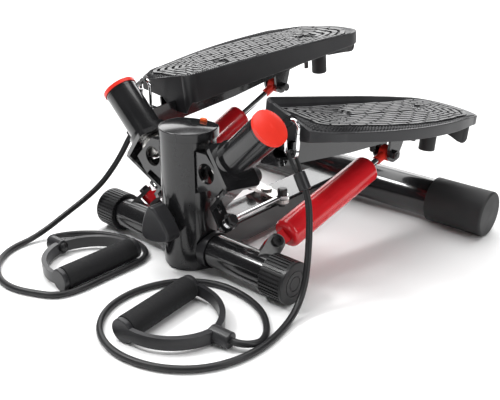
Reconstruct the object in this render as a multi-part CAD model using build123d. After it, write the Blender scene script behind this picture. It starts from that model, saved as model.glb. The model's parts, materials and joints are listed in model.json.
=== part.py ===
from build123d import *
import os
from math import atan2, cos, degrees, hypot, pi, radians, sin, tan

# Mini twist stepper.  Millimetres, +Z up, -Y is the front, origin on the floor under the column's axis.
# The right side is drawn with its pedal at mid travel, turned to its stored place, and mirrored for the left.

# ---------------------------------------------------------------- driving dimensions
FRONT_TUBE_R, FRONT_TUBE_WALL, FRONT_TUBE_HALF, FRONT_TUBE_Z = 19.0, 1.5, 140.0, 23.5
FRONT_CAP_R, FRONT_CAP_IN, FRONT_CAP_OUT = 23.5, 118.5, 149.5
REAR_TUBE_R, REAR_TUBE_WALL, REAR_TUBE_HALF, REAR_Y, REAR_Z = 25.0, 2.0, 222.0, 284.0, 28.5
REAR_CAP_R, REAR_CAP_IN, REAR_CAP_OUT = 28.5, 155.0, 230.0
BEAM_W, BEAM_H, BEAM_WALL, BEAM_Z = 50.0, 30.0, 2.0, 21.5
COLUMN_R, COLUMN_WALL, COLUMN_TOP, FOOT_H = 30.0, 2.0, 150.0, 2.5
COVER_R, COVER_HALF_ANGLE, CONSOLE_R, CONSOLE_RIM, CONSOLE_TOP = 32.5, 54.5, 32.8, 161.5, 164.5
KNOB_Z, KNOB_FACE_Y, KNOB_BACK_Y, SPINDLE_R = 60.0, -58.0, -40.0, 5.0

TILT = 46.5                       # hub axis, degrees out from vertical
REST = 9.22                       # one pedal stored this far down, the other this far up
SWING = 15.6                      # pedal travel each way from mid
HUB = Vector(65, 0, 136)          # lower end of the right hub sleeve, on its axis
SLEEVE_R, SLEEVE_BORE, SLEEVE_LEN, AXLE_R = 19.0, 16.0, 61.0, 8.0
COLLAR_R = 22.5                   # welded ring round the sleeve's lower end
RUN = 0.05                        # radial running clearance of every pin and bore that turns

ROCKER_Y, ROCKER_HALF, ROCKER_Z, ROCKER_T = 131.0, 33.0, 41.0, 5.0
LUG_M, LUG_S = 49.0, -43.0        # link pin: distance from the hub axis, and place along it
PIN_R = 3.0
CYL_FOOT = Vector(100, 25, 42)    # lower eye of the right cylinder
EYE_MID = Vector(92.2, 225.6, 126.4)  # upper eye, pedal at mid travel
CYL_R, CYL_START, CYL_END, ROD_R, PISTON_BACK = 17.0, 18.0, 165.0, 4.0, 158.0

BAND_R, FLOOR_Z = 3.5, 3.7        # band tube radius, and its centre's height where it lies
GRIP_R, GRIP_HALF, GRIP_CORE_R, GRIP_Z = 13.0, 46.0, 8.0, 13.05

N = Vector(sin(radians(TILT)), 0, cos(radians(TILT)))
M = Vector(cos(radians(TILT)), 0, -sin(radians(TILT)))
HUB_AXIS = Axis(HUB, N)
# Hub frame: x runs outward and down (M), y is the row's Y, z runs up the axle (N).
HUB_FRAME = Plane(origin=HUB, x_dir=M, z_dir=N).location


# ---------------------------------------------------------------- helpers
def rod(start, end, radius):
    """Round bar between two points."""
    run = Vector(*end) - Vector(*start)
    plane = Plane(origin=Vector(*start), z_dir=run)
    return plane.location * Cylinder(radius, run.length, align=(Align.CENTER, Align.CENTER, Align.MIN))


def hub_disc(radius, low, high, m=0.0, y=0.0):
    """Disc about the hub axis, or beside it, between two places along it."""
    disc = Cylinder(radius, high - low, align=(Align.CENTER, Align.CENTER, Align.MIN))
    return HUB_FRAME * Pos(m, y, low) * disc


def hub_ring(outer, inner, low, high):
    return hub_disc(outer, low, high) - hub_disc(inner, low - 1, high + 1)


def hub_box(m_range, y_range, s_range):
    return HUB_FRAME * block(m_range, y_range, s_range)


def block(x_range, y_range, z_range):
    spans = (x_range, y_range, z_range)
    box = Box(*[high - low for low, high in spans])
    return Pos(*[(low + high) / 2 for low, high in spans]) * box


def slab(points, axis, low, high):
    """Flat plate: an outline in the plane across an axis, between two places on that axis."""
    planes = {"x": Plane.YZ, "y": Plane.XZ, "z": Plane.XY}
    face = make_face(Polyline(*points, close=True))
    sign = -1 if axis == "y" else 1
    plate = extrude(planes[axis] * face, amount=high - low, dir=planes[axis].z_dir * sign)
    shift = {"x": (low, 0, 0), "y": (0, low, 0), "z": (0, 0, low)}[axis]
    return Pos(*shift) * plate


def hexagon(across, low, high):
    return Pos(0, 0, low) * extrude(RegularPolygon(across / 2, 6, major_radius=False), high - low)


def seat(shape, side):
    """Turn a pedal-borne piece from mid travel to its stored place on one side."""
    if side == "right":
        return shape.rotate(HUB_AXIS, -REST)
    return shape.rotate(HUB_AXIS, REST).mirror(Plane.YZ)


def sided(shape, side):
    return shape if side == "right" else shape.mirror(Plane.YZ)


def both(shape):
    return [shape, shape.mirror(Plane.YZ)]


def turned(point, degrees):
    """A point carried round the right hub axis."""
    return Vertex(*point).rotate(HUB_AXIS, degrees).center()


def solids_of(shapes):
    shapes = shapes if isinstance(shapes, (list, tuple)) else [shapes]
    return [solid for shape in shapes for solid in shape.solids()]


def save(name, shapes):
    solids = solids_of(shapes)
    body = solids[0] if len(solids) == 1 else Compound(children=solids)
    body.label = name
    export_step(body, f"parts/{name}.step")


def along_x(radius, low, high, y, z):
    bar = Cylinder(radius, high - low, align=(Align.CENTER, Align.CENTER, Align.MIN))
    return Pos(low, y, z) * Rot(0, 90, 0) * bar


# ---------------------------------------------------------------- base frame
def front_tube():
    half = FRONT_TUBE_HALF
    bore = along_x(FRONT_TUBE_R - FRONT_TUBE_WALL, -half - 1, half + 1, 0, FRONT_TUBE_Z)
    return along_x(FRONT_TUBE_R, -half, half, 0, FRONT_TUBE_Z) - bore


def front_cap():
    """Push-on plastic cap with 36 ribs and two rings pressed into its face."""
    cap = along_x(FRONT_CAP_R, FRONT_CAP_IN, FRONT_CAP_OUT, 0, FRONT_TUBE_Z)
    cap = chamfer(cap.edges().filter_by(GeomType.CIRCLE).sort_by(Axis.X)[-1], 1.0)
    cap -= along_x(FRONT_TUBE_R + 0.02, FRONT_CAP_IN - 1, FRONT_TUBE_HALF, 0, FRONT_TUBE_Z)
    for radius in (7.5, 13.5):
        ring = along_x(radius + 0.9, FRONT_CAP_OUT - 0.8, FRONT_CAP_OUT + 1, 0, FRONT_TUBE_Z)
        ring -= along_x(radius, FRONT_CAP_OUT - 2, FRONT_CAP_OUT + 2, 0, FRONT_TUBE_Z)
        cap -= ring
    ribs, depth, width = 36, 1.3, 1.9
    axis = Axis((0, 0, FRONT_TUBE_Z), (1, 0, 0))
    groove = block((FRONT_CAP_IN - 1, FRONT_CAP_OUT - 3.5), (-width / 2, width / 2),
                   (FRONT_TUBE_Z + FRONT_CAP_R - depth, FRONT_TUBE_Z + FRONT_CAP_R + 2))
    grooves = [groove.rotate(axis, 360 / ribs * (i + 0.5)) for i in range(ribs)]
    return cap - grooves


def tube_collar():
    ring = along_x(20.9, 27, 38, 0, FRONT_TUBE_Z) - along_x(FRONT_TUBE_R + 0.02, 20, 40, 0, FRONT_TUBE_Z)
    ring = chamfer(ring.edges().filter_by(GeomType.CIRCLE).sort_by(Axis.X)[-1], 0.8)
    return ring - Pos(0, 0, 80) * Cylinder(COVER_R + 0.1, 160)


def rear_tube():
    half = REAR_TUBE_HALF
    bore = along_x(REAR_TUBE_R - REAR_TUBE_WALL, -half - 1, half + 1, REAR_Y, REAR_Z)
    return along_x(REAR_TUBE_R, -half, half, REAR_Y, REAR_Z) - bore


def rear_cap():
    cap = along_x(REAR_CAP_R, REAR_CAP_IN, REAR_CAP_OUT, REAR_Y, REAR_Z)
    cap = fillet(cap.edges().filter_by(GeomType.CIRCLE).sort_by(Axis.X)[-1], 3.0)
    return cap - along_x(REAR_TUBE_R + 0.02, REAR_CAP_IN - 1, REAR_TUBE_HALF, REAR_Y, REAR_Z)


def center_beam():
    """Box-section beam, coped round the column, the front tube and the rear tube."""
    low, high = BEAM_Z - BEAM_H / 2, BEAM_Z + BEAM_H / 2
    beam = block((-BEAM_W / 2, BEAM_W / 2), (10, REAR_Y), (low, high))
    beam = fillet(beam.edges().filter_by(Axis.Y), 3.0)
    wall = BEAM_WALL
    beam -= block((-BEAM_W / 2 + wall, BEAM_W / 2 - wall), (0, REAR_Y + 10), (low + wall, high - wall))
    beam -= Pos(0, 0, 80) * Cylinder(COLUMN_R + 0.02, 160)
    beam -= along_x(FRONT_TUBE_R + 0.02, -60, 60, 0, FRONT_TUBE_Z)
    return (beam - along_x(REAR_TUBE_R + 0.02, -60, 60, REAR_Y, REAR_Z)).solids().sort_by(SortBy.VOLUME)[-1]


def column_tube():
    height = COLUMN_TOP - FOOT_H
    tube = Pos(0, 0, FOOT_H + height / 2) * Cylinder(COLUMN_R, height)
    tube -= Pos(0, 0, FOOT_H + height / 2) * Cylinder(COLUMN_R - COLUMN_WALL, height + 2)
    tube -= along_x(FRONT_TUBE_R + 0.02, -60, 60, 0, FRONT_TUBE_Z)
    return tube - rod((0, -60, KNOB_Z), (0, 0, KNOB_Z), SPINDLE_R + RUN)


def column_foot():
    """Plastic plug that closes the column and stands on the floor."""
    plug = Pos(0, 0, FOOT_H / 2) * Cylinder(COLUMN_R, FOOT_H)
    spigot_r = COLUMN_R - COLUMN_WALL - 0.05
    spigot = Pos(0, 0, FOOT_H) * Cylinder(spigot_r, 9, align=(Align.CENTER, Align.CENTER, Align.MIN))
    spigot -= Pos(0, 0, FOOT_H) * Cylinder(spigot_r - 2.5, 40)
    return plug + (spigot - along_x(FRONT_TUBE_R + 0.3, -60, 60, 0, FRONT_TUBE_Z))


def column_cover():
    """Half-round plastic shell over the front of the column."""
    low, high = 3.0, 152.0
    middle, height = (low + high) / 2, high - low
    shell = Pos(0, 0, middle) * Cylinder(COVER_R, height) - Pos(0, 0, middle) * Cylinder(COLUMN_R + 0.1, height + 2)
    reach = 60.0
    side = radians(COVER_HALF_ANGLE)
    wedge = [(0, 0), (-reach * sin(side), -reach * cos(side)), (-reach, -reach), (reach, -reach),
             (reach * sin(side), -reach * cos(side))]
    shell = shell & slab(wedge, "z", low, high)
    shell -= along_x(FRONT_TUBE_R + 0.3, -60, 60, 0, FRONT_TUBE_Z)
    return shell - rod((0, -60, KNOB_Z), (0, 0, KNOB_Z), 8.0)


# ---------------------------------------------------------------- console
DISPLAY_TILT, DISPLAY_Y = 9.0, 9.0
BUTTON_X, BUTTON_Y = -3.0, 26.0


def display_plane(z):
    """Plane of the sloping rear part of the console's roof, at a height over its front edge."""
    return Plane(origin=(0, 2, z), x_dir=(1, 0, 0), z_dir=(0, sin(radians(DISPLAY_TILT)), cos(radians(DISPLAY_TILT))))


def console_housing():
    """Round housing with a gently domed roof; its rear part slopes back and holds the display."""
    profile = [
        Line((0, 152.2), (CONSOLE_R, 152.2)),
        Line((CONSOLE_R, 152.2), (CONSOLE_R, CONSOLE_RIM - 1)),
        ThreePointArc((CONSOLE_R, CONSOLE_RIM - 1), (CONSOLE_R - 0.35, CONSOLE_RIM - 0.1), (CONSOLE_R - 1.3, CONSOLE_RIM)),
        ThreePointArc((CONSOLE_R - 1.3, CONSOLE_RIM), (18, CONSOLE_TOP - 1.0), (0, CONSOLE_TOP)),
        Line((0, CONSOLE_TOP), (0, 152.2)),
    ]
    body = revolve(Plane.XZ * make_face(profile), Axis.Z)
    body -= display_plane(163.6).location * Pos(0, 30, 10) * Box(90, 60, 20)
    body += Pos(0, 0, COLUMN_TOP) * Cylinder(COLUMN_R - 0.2, 2.4, align=(Align.CENTER, Align.CENTER, Align.MIN))
    body -= Pos(0, 0, 149) * Cylinder(24.0, 9.5, align=(Align.CENTER, Align.CENTER, Align.MIN))
    body -= display_plane(162.4).location * Pos(0, DISPLAY_Y, 1) * Box(34, 12, 2)
    return body - Pos(BUTTON_X, BUTTON_Y, 153.0) * extrude(SlotOverall(9.6, 5.6), 15)


def console_display():
    lens = display_plane(162.4).location * Pos(0, DISPLAY_Y, 0.5) * Box(33.8, 11.8, 1.0)
    return lens


def console_button():
    """Oval reset button, free to sink into its well in the housing."""
    cap = Pos(BUTTON_X, BUTTON_Y, 154.6) * extrude(SlotOverall(9.0, 5.0), 8.2)
    return fillet(cap.edges().group_by(Axis.Z)[-1], 0.8)


def circuit_board():
    """Counter board with its coin cell."""
    return [Pos(0, 0, 152.4) * Box(34, 24, 1.6), Pos(-4, 1, 154.6) * Cylinder(7.0, 2.6)]


# ---------------------------------------------------------------- height knob
def height_knob():
    """Three-lobed knob with gently bowed sides."""
    radius, bow, turn = 27.5, 3.5, 100.0
    corners = [Vector(radius * cos(a), radius * sin(a)) for a in
               [radians(turn + 120 * i) for i in range(3)]]
    arcs = []
    for i in range(3):
        start, end = corners[i], corners[(i + 1) % 3]
        middle = (start + end) * 0.5
        arcs.append(ThreePointArc(start, middle + middle.normalized() * bow, end))
    face = fillet(make_face(arcs).vertices(), 8.0)
    depth = KNOB_BACK_Y - KNOB_FACE_Y
    body = extrude(face, depth)
    body = fillet(body.edges().group_by(Axis.Z)[-1], 2.5)
    body = Plane(origin=(0, KNOB_BACK_Y, KNOB_Z), x_dir=(1, 0, 0), z_dir=(0, -1, 0)).location * body
    return body - rod((0, -30, KNOB_Z), (0, KNOB_BACK_Y - 12, KNOB_Z), SPINDLE_R)


def knob_spindle():
    spindle = rod((0, -18, KNOB_Z), (0, KNOB_BACK_Y - 12, KNOB_Z), SPINDLE_R)
    collar = rod((0, -33.2, KNOB_Z), (0, -39.8, KNOB_Z), 7.2)
    return spindle + collar


# ---------------------------------------------------------------- hinge brackets and hubs
STOP_M, STOP_S, STOP_HALF = 15.0, -30.0, 5.0


def hinge_bracket():
    """Two gussets on the column carry the plate that the hub axle is bolted to, and a stop bar."""
    def corner(m, s):
        point = HUB + M * m + N * s
        return (point.X, point.Z)
    outline = [(20, 142), corner(-20, -12), corner(18, -12), corner(20, -35), corner(11, -35), (20, 92)]
    parts = [slab(outline, "y", low, low + 4.0) for low in (13.0, -17.0)]
    bracket = parts[0] + parts[1] - rod((42, -30, 121), (42, 30, 121), 11.5)
    bracket += hub_box((-20, 18), (-17, 17), (-16, -12))
    bracket += stop_bar(STOP_HALF)
    bracket -= hub_disc(AXLE_R + 0.02, -20, -8)
    return bracket - Pos(0, 0, 80) * Cylinder(COLUMN_R + 0.02, 200)


def stop_bar(half):
    """Square bar along both gussets, long enough to carry the rubber cap."""
    spans = [(middle - half, middle + half) for middle in (STOP_M, STOP_S)]
    return hub_box(spans[0], (-17, 40), spans[1])


def stop_cap():
    """Rubber cap on the stop bar's rear end."""
    cap = HUB_FRAME * Pos(STOP_M, 43.0, STOP_S) * Rot(90, 0, 0) * Cylinder(9.5, 17.0)
    cap = fillet(cap.edges().filter_by(GeomType.CIRCLE).sort_by(Axis.Y)[-1], 5.0)
    return cap - stop_bar(STOP_HALF + 0.02)


def hinge_axle():
    return hub_disc(AXLE_R, -25.0, 69.0)


def axle_nuts():
    bore = hub_disc(AXLE_R + 0.02, -40, 90)
    lower = HUB_FRAME * hexagon(21, -24.0, -16.05) - bore
    upper = HUB_FRAME * hexagon(21, 64.5, 67.3) - bore
    return [lower, upper]


def thrust_washers():
    return [hub_ring(15.5, AXLE_R + 0.02, -11.9, -9.0), hub_ring(13.5, AXLE_R + 0.02, -8.9, -5.4)]


def hub_cap():
    """Red plastic dome over the top nut."""
    rim, top, dome_r = 64.42, 71.5, 70.0
    dome = HUB_FRAME * Pos(0, 0, top - dome_r) * Sphere(dome_r)
    cap = hub_disc(20.0, rim, top + 1) & dome
    return cap - hub_disc(14.0, rim - 1, 67.6) - hub_disc(9.0, rim - 1, 69.6)


HANG_RIGHT = Vector(114.7, 33.0, 183.2)   # where the right carabiner hangs
HANG_LEFT = Vector(107.0, 32.4, 188.6)    # the left one's place, before mirroring


def band_eye_plate(hang):
    """Plate clamped under the hub cap; its bent tab holds a carabiner behind the hub."""
    offset_to_hang = hang - HUB
    reach = hypot(offset_to_hang.dot(M), offset_to_hang.Y)
    turn = degrees(atan2(-offset_to_hang.dot(M), offset_to_hang.Y))
    bend, middle, width = 20.8, 62.9, 9.0
    rise = offset_to_hang.dot(N) - middle
    neck = block((-width / 2, width / 2), (12, bend), (61.4, 64.4))
    length = hypot(reach - bend, rise)
    tab = Box(width, length + 0.6, 3.0, align=(Align.CENTER, Align.MIN, Align.CENTER))
    tab += Pos(0, length, 0) * Cylinder(width / 2, 3.0)
    tab -= Pos(0, length, 0) * Cylinder(2.7, 5.0)
    tab = Pos(0, bend, middle) * Rot(degrees(atan2(rise, reach - bend)), 0, 0) * tab
    disc = Pos(0, 0, middle) * Cylinder(19.0, 3.0)
    plate = disc + neck + tab
    plate = HUB_FRAME * Rot(0, 0, turn) * plate - hub_disc(AXLE_R + 0.02, 50, 80)
    return plate - rod(hang - Vector(12, 0, 0.6), hang + Vector(12, 0, -0.6), CARABINER_R + 1.3)


# ---------------------------------------------------------------- pedal and arm
def hub_sleeve():
    return hub_ring(SLEEVE_R, SLEEVE_BORE, 0.0, SLEEVE_LEN)


def hub_bushes():
    bore = AXLE_R + RUN
    return [hub_ring(SLEEVE_BORE, bore, 0.6, 14.0), hub_ring(SLEEVE_BORE, bore, 46.0, 60.4)]


def hub_crank():
    """Plate welded under the sleeve, bent down to the lug that pulls the link."""
    plate = hub_box((-23, 31), (-23, 23), (-5, 0))
    long_edges = [e for e in plate.edges() if abs(e.length - 5.0) < 0.01]
    plate = fillet(long_edges, 6.0)
    collar = hub_ring(COLLAR_R, SLEEVE_R, 0, 6)
    web_outline = [(-23, -1), (0, -1), (8, -55), (-9, -55)]
    web = make_face(Polyline(*web_outline, close=True))
    web = extrude(Plane(origin=(26, 0, 0), x_dir=(0, 1, 0), z_dir=(1, 0, 0)) * web, 5.0)
    lug = hub_box((26, LUG_M), (-9, 8), (-55, -51)) + hub_disc(8.5, -55, -51, LUG_M)
    crank = plate + collar + HUB_FRAME * web + lug
    crank -= hub_disc(13.0, -6, 1)
    crank -= hub_disc(PIN_R + 0.02, -60, -45, LUG_M)
    return crank - hub_disc(2.6, -60, -45, LUG_M - 15.5)


def tread_z(x, y):
    return 181.0 - 0.033 * (y - 135.0) - 0.03 * (x - 90.0)


ARM_IN, ARM_OUT, ARM_SHEET = 76.0, 104.0, 2.5


def pedal_arm():
    """Folded steel channel from the hub sleeve to the heel, with the ears for the cylinder.

    A shallow hollow in its side clears a band's ferrule when the pedal is right down.
    """
    outline = [(6, 143), (30, 136.5), (140, 138.5), (330, 153), (330, 168.5), (62, 176.5), (57, 160.5), (6, 160.5)]
    arm = slab(outline, "x", ARM_IN, ARM_OUT)
    hollow = [(24, 141.2), (31, 139.2), (140, 141.2), (327, 155.5), (327, 190), (24, 190)]
    arm -= slab(hollow, "x", ARM_IN + ARM_SHEET, ARM_OUT - ARM_SHEET)
    arm -= hub_box((-80, 80), (-20, 46), (33, 120))
    for low, high in ((79.0, 82.6), (100.4, 104.0)):
        ear = slab([(215, 146), (216, 126), (235, 126), (243, 147)], "x", low, high)
        ear += along_x(9.5, low, high, EYE_MID.Y, EYE_MID.Z)
        arm += ear
    arm -= hub_disc(SLEEVE_R + 0.02, -10, 80)
    arm -= hub_disc(COLLAR_R + 0.1, -6, 6.1)
    arm -= along_x(PIN_R + 0.02, 60, 120, EYE_MID.Y, EYE_MID.Z)
    relief = loop_frame("left") * along_pin(FERRULE_R + 0.9, FERRULE_START - 4, FERRULE_END + 4)
    arm -= relief.rotate(HUB_AXIS, SWING)
    for x, y in PEDAL_SCREWS:
        arm -= rod((x, y, 120), (x, y, 180), PIN_R + 0.05)
    return arm


PEDAL_SCREWS = [(90.0, 134.0), (89.0, 284.0)]


def pedal_outline():
    """Foot-shaped outline: straight inner side, bowed outer side, square toe, blunt heel."""
    sides = [
        Line((46, 62), (43.5, 325)),
        ThreePointArc((43.5, 325), (52, 348), (74, 359)),
        ThreePointArc((74, 359), (98, 361.5), (122, 357)),
        ThreePointArc((122, 357), (141, 346), (152, 322)),
        ThreePointArc((152, 322), (169, 205), (150, 74)),
        ThreePointArc((150, 74), (143, 54), (129, 41)),
        Line((129, 41), (62, 52)),
        ThreePointArc((62, 52), (50, 54.5), (46, 62)),
    ]
    return make_face(sides)


def under_plane(z_at_origin, slope_x, slope_y, x0=90.0, y0=135.0):
    """Everything under a sloping plane."""
    normal = Vector(-slope_x, -slope_y, 1)
    plane = Plane(origin=(x0, y0, z_at_origin), x_dir=(1, 0, slope_x), z_dir=normal)
    return plane.location * Pos(0, 0, -100) * Box(900, 900, 200)


def pedal():
    """Moulded foot plate: ribbed deck, skirt all round, raised inner lip, deep heel."""
    outline = pedal_outline()
    full = Pos(0, 0, 120) * extrude(outline, 100)
    skirt_low = 161.5
    deck = full & under_plane(181.0, -0.03, -0.033)
    inner_strip = full & block((30, 56), (30, 400), (100, 230)) & under_plane(195.5, 0.0, -0.06, 46, 62)
    toe_strip = full & block((30, 118), (30, 62), (100, 230)) & under_plane(195.5, -0.195, -0.06, 46, 62)
    body = deck + inner_strip + toe_strip
    wall = 3.0
    inside = Pos(0, 0, 100) * extrude(offset(outline, -wall), 100)
    body -= inside & under_plane(176.0, -0.03, -0.033)
    body -= block((0, 200), (0, 400), (80, skirt_low)) - block((66, 124), (330, 400), (80, 190))
    body -= block((0, 200), (0, 400), (80, 131))
    body -= rod((95, 330, 118), (95, 400, 118), 20.0)
    for x, y in PEDAL_SCREWS:
        body -= rod((x, y, 100), (x, y, 200), PIN_R + 0.05)
        body -= rod((x, y, tread_z(x, y) - 2.2), (x, y, 210), 6.5)
    return body.solids().sort_by(SortBy.VOLUME)[-1]


def pedal_bumper():
    bumper = rod((92, 313, 119.5), (92, 313, 151.5), 10.5)
    bumper = fillet(bumper.edges().filter_by(GeomType.CIRCLE).sort_by(Axis.Z)[0], 1.5)
    arm_underside = slab([(290, 149.93), (330, 152.98), (330, 200), (290, 200)], "x", 60, 120)
    return bumper - arm_underside


def pedal_bolts():
    """Screws down through the deck, the pin of the cylinder's upper eye and the pin of the link."""
    parts = []
    for x, y in PEDAL_SCREWS:
        top = tread_z(x, y) - 2.1
        parts.append(rod((x, y, 134), (x, y, top), PIN_R) + rod((x, y, top), (x, y, top + 1.9), 5.5))
    y, z = EYE_MID.Y, EYE_MID.Z
    pin = along_x(PIN_R, 72.0, 109.5, y, z) + along_x(5.0, 70.0, 78.9, y, z)
    nut = Pos(104.05, y, z) * Rot(0, 90, 0) * extrude(RegularPolygon(5.0, 6, major_radius=False), 4.5)
    parts.append(pin + nut)
    link_pin = hub_disc(PIN_R, -58, -36, LUG_M) + hub_disc(5.0, -58.5, -55.05, LUG_M)
    link_pin += hub_disc(4.8, -50.95, -48.4, LUG_M)
    link_pin += HUB_FRAME * Pos(LUG_M, 0, 0) * hexagon(10, -39.6, -35.5)
    parts.append(link_pin)
    return parts


# ---------------------------------------------------------------- rocker and links
def rocker_pivot():
    """Shouldered bolt on the beam's top: the rocker turns on it."""
    top = BEAM_Z + BEAM_H / 2
    boss = rod((0, ROCKER_Y, top), (0, ROCKER_Y, ROCKER_Z - 0.3), 8.0)
    shank = rod((0, ROCKER_Y, ROCKER_Z - 1), (0, ROCKER_Y, ROCKER_Z + ROCKER_T + 0.4), 4.0)
    top = ROCKER_Z + ROCKER_T
    head = rod((0, ROCKER_Y, top + 0.3), (0, ROCKER_Y, top + 2.6), 7.0)
    return boss + shank + head


def stored_rocker(shape):
    """The rocker's right end lies forward while the right pedal is down."""
    return shape.rotate(Axis((0, ROCKER_Y, 0), (0, 0, 1)), -REST * LUG_M / ROCKER_HALF)


def rocker_plate():
    plate = Pos(0, ROCKER_Y, ROCKER_Z) * extrude(SlotCenterToCenter(2 * ROCKER_HALF, 17), ROCKER_T)
    plate -= rod((0, ROCKER_Y, 30), (0, ROCKER_Y, 60), 4.0 + RUN)
    for x in (-ROCKER_HALF, ROCKER_HALF):
        plate -= rod((x, ROCKER_Y, 30), (x, ROCKER_Y, 60), PIN_R + 0.02)
    return stored_rocker(plate)


LINK_EYE_Z = ROCKER_Z + ROCKER_T + 2.9    # mid-height of the link's rear eye


def rocker_bolts():
    bolts = []
    for x in (-ROCKER_HALF, ROCKER_HALF):
        shank = rod((x, ROCKER_Y, ROCKER_Z - 5), (x, ROCKER_Y, LINK_EYE_Z + 6), PIN_R)
        tail = rod((x, ROCKER_Y, ROCKER_Z - 5), (x, ROCKER_Y, ROCKER_Z - 0.05), 5.0)
        dome = rod((x, ROCKER_Y, LINK_EYE_Z + 2.3), (x, ROCKER_Y, LINK_EYE_Z + 10.5), 6.2)
        dome = fillet(dome.edges().filter_by(GeomType.CIRCLE).sort_by(Axis.Z)[-1], 2.5)
        bolts.append(stored_rocker(shank + tail + dome))
    return bolts


def link(side):
    """Drop link: one eye on the crank's pin, the other on the rocker's bolt."""
    sense = -1 if side == "right" else 1
    front = turned(HUB + M * LUG_M + N * LUG_S, sense * REST)
    swing = radians(REST * LUG_M / ROCKER_HALF)
    rear = Vector(ROCKER_HALF * cos(swing), ROCKER_Y + sense * ROCKER_HALF * sin(swing), LINK_EYE_Z)
    eye = Plane(origin=front, z_dir=N).location
    body = eye * Cylinder(8.5, 4.0) + Pos(*rear) * Cylinder(7.5, 4.0)
    run = (rear - front).normalized()
    rise = N * 0.8
    body += rod(front + run * 5 + rise, rear - run * 3.5, 2.8)
    body -= eye * Cylinder(PIN_R + 1.3, 20)
    body -= Pos(*rear) * Cylinder(PIN_R + RUN, 20)
    body -= Pos(rear.X, rear.Y, rear.Z + 2.1 + 8) * Cylinder(9, 16)
    body -= Pos(rear.X, rear.Y, rear.Z - 2.1 - 8) * Cylinder(9, 16)
    return sided(body, side)


# ---------------------------------------------------------------- hydraulic cylinders
# The cylinder turns about an axis across the plane that its upper eye moves in.
CYL_AXIS = Vector(0.678, -0.266, 0.685)
CYL_RATIO = 0.953                 # cylinder turn per turn of its pedal


def cylinder_frame(side):
    """Origin in the lower eye, z towards the upper eye, x along the lower pin.  Right side only."""
    sense = -1 if side == "right" else 1
    eye = turned(EYE_MID, sense * REST)
    run = eye - CYL_FOOT
    axis = CYL_AXIS - run.normalized() * CYL_AXIS.dot(run.normalized())
    return Plane(origin=CYL_FOOT, x_dir=axis, z_dir=run).location, run.length


def along_pin(radius, low, high):
    bar = Cylinder(radius, high - low, align=(Align.CENTER, Align.CENTER, Align.MIN))
    return Rot(0, 90, 0) * Pos(0, 0, low) * bar


def lift_cylinder(side):
    frame, _ = cylinder_frame(side)
    barrel = Pos(0, 0, CYL_START) * Cylinder(CYL_R, CYL_END - CYL_START, align=(Align.CENTER, Align.CENTER, Align.MIN))
    rims = barrel.edges().filter_by(GeomType.CIRCLE).sort_by(Axis.Z)
    barrel = fillet(rims[0], 6.5)
    barrel = fillet(barrel.edges().filter_by(GeomType.CIRCLE).sort_by(Axis.Z)[-1], 5.0)
    barrel -= Pos(0, 0, 28) * Cylinder(13, CYL_END - 8 - 28, align=(Align.CENTER, Align.CENTER, Align.MIN))
    barrel -= Pos(0, 0, CYL_END) * Cylinder(ROD_R + RUN, 40)
    eye = along_pin(9.5, -6, 6) + block((-6, 6), (-7.5, 7.5), (3, CYL_START + 0.5))
    return sided(frame * (barrel + eye - along_pin(4.0 + RUN, -10, 10)), side)


def piston_rod(side):
    frame, length = cylinder_frame(side)
    shank = Cylinder(ROD_R, PISTON_BACK - 12, align=(Align.CENTER, Align.CENTER, Align.MIN))
    piston = Cylinder(12.9, 8, align=(Align.CENTER, Align.CENTER, Align.MIN))
    foot = length - PISTON_BACK
    return sided(frame * Pos(0, 0, foot) * (shank + piston), side)


def rod_eye(side):
    """Red nylon eye on the rod's end, loose on the arm's pin, square to that pin at mid travel."""
    frame, length = cylinder_frame(side)
    sense = -1 if side == "right" else 1
    pin = Vector(1, 0, 0)
    axis = Axis(CYL_FOOT, CYL_AXIS)
    pin = Vertex(*(CYL_FOOT + pin)).rotate(axis, sense * REST * CYL_RATIO).center() - CYL_FOOT
    eye_place = Plane(origin=(frame * Pos(0, 0, length)).position, z_dir=pin).location
    socket = frame * Pos(0, 0, length - 20.0) * Cylinder(5.5, 14.0, align=(Align.CENTER, Align.CENTER, Align.MIN))
    body = eye_place * Cylinder(9.5, 10.0) + socket
    body -= eye_place * Cylinder(PIN_R + 2.2, 20)
    body -= frame * Pos(0, 0, length - 40) * Cylinder(ROD_R, 28, align=(Align.CENTER, Align.CENTER, Align.MIN))
    return sided(body, side)


def cylinder_clevis():
    """Two ears welded to the front tube, square to the cylinder's lower pin."""
    pin = CYL_AXIS.normalized()
    down = Vector(0, -CYL_FOOT.Y, FRONT_TUBE_Z - CYL_FOOT.Z)
    down = down - pin * pin.dot(down)
    place = Plane(origin=CYL_FOOT, x_dir=pin, z_dir=down).location
    gap, sheet, width, reach = 6.4, 4.0, 9.5, 30.0
    body = block((-gap - sheet, gap + sheet), (-width, width), (13.5, reach))
    for low, high in ((-gap - sheet, -gap), (gap, gap + sheet)):
        body += block((low, high), (-width, width), (0, reach))
        body += along_pin(width, low, high)
    body -= along_pin(4.02, -20, 20)
    return place * body - along_x(FRONT_TUBE_R + 0.02, 0, 200, 0, FRONT_TUBE_Z)


def clevis_bolt():
    pin = CYL_AXIS.normalized()
    place = Plane(origin=CYL_FOOT, x_dir=pin, z_dir=Vector(0, 1, 0) - pin * pin.Y).location
    head = along_pin(6.0, 10.45, 15.0) - along_pin(2.6, 12.5, 16)
    nut = Rot(0, 90, 0) * hexagon(11, -14.5, -10.45)
    return place * (along_pin(4.0, -15.5, 13) + head + nut)


# ---------------------------------------------------------------- bands
CARABINER_R, GATE_R = 2.0, 2.3
CARABINER_SHAPE = [(8.3, -12.5), (9.0, 0), (-9.0, 0), (-7.5, -38), (7.5, -38), (7.8, -32.0)]
GATE_TOP, GATE_PIVOT = (8.2, -13.0), (7.8, -29.4)


def carabiner_place(hang):
    return Plane(origin=hang, x_dir=(1, 0, 0), z_dir=(0, -1, 0)).location


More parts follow.
